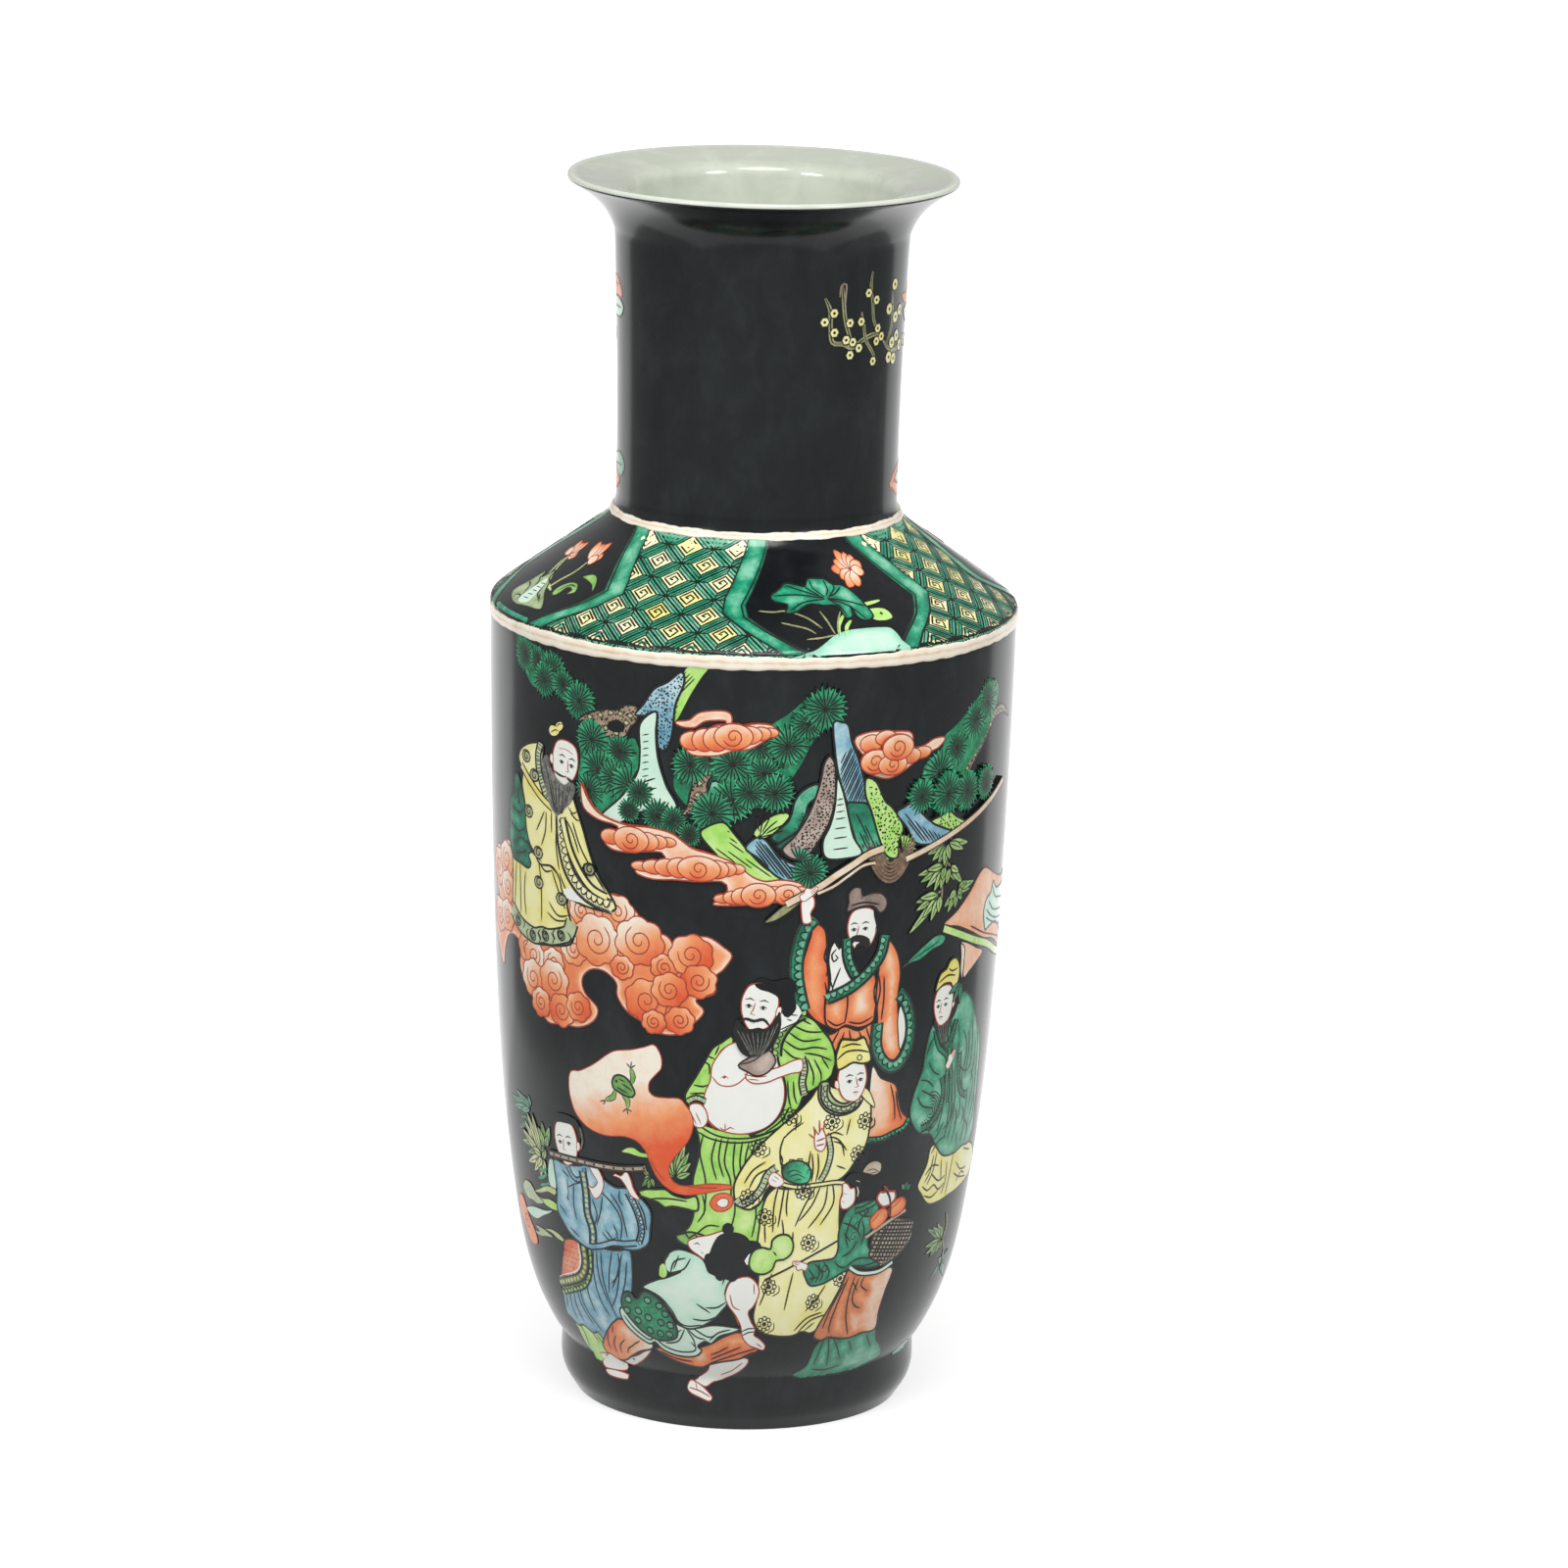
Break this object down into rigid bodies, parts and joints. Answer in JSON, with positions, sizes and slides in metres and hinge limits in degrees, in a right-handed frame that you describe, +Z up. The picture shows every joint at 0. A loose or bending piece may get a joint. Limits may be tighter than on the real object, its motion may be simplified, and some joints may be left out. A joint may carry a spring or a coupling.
{
  "type": "baluster vase",
  "caption": "Tall porcelain vase with an upright barrel, sloping shoulder, straight neck and flared mouth, open on top, standing on a foot ring.",
  "frame": {"origin": "centre of the foot, on the surface that the vase stands on", "axes": "+Z up along the vase's own axis; -Y is the painted front that the picture shows"},
  "size_m": [0.1898, 0.1898, 0.45],
  "materials": {
    "black_enamel": "glossy black enamel over porcelain",
    "white_glaze": "glossy pale celadon-white glaze",
    "bare_clay": "matt unglazed porcelain",
    "coloured_enamel": "glossy green, yellow, blue, aubergine and iron-red enamels over the glaze"
  },
  "bodies": {
    "root": {"foot_ring": "black_enamel", "lower_body": "black_enamel", "upper_body": "black_enamel", "shoulder": "black_enamel", "neck": "black_enamel", "mouth_rim": "white_glaze", "body_seam_coil": "bare_clay", "shoulder_seam_coil": "bare_clay", "neck_seam_coil": "bare_clay"}
  },
  "joints": []
}
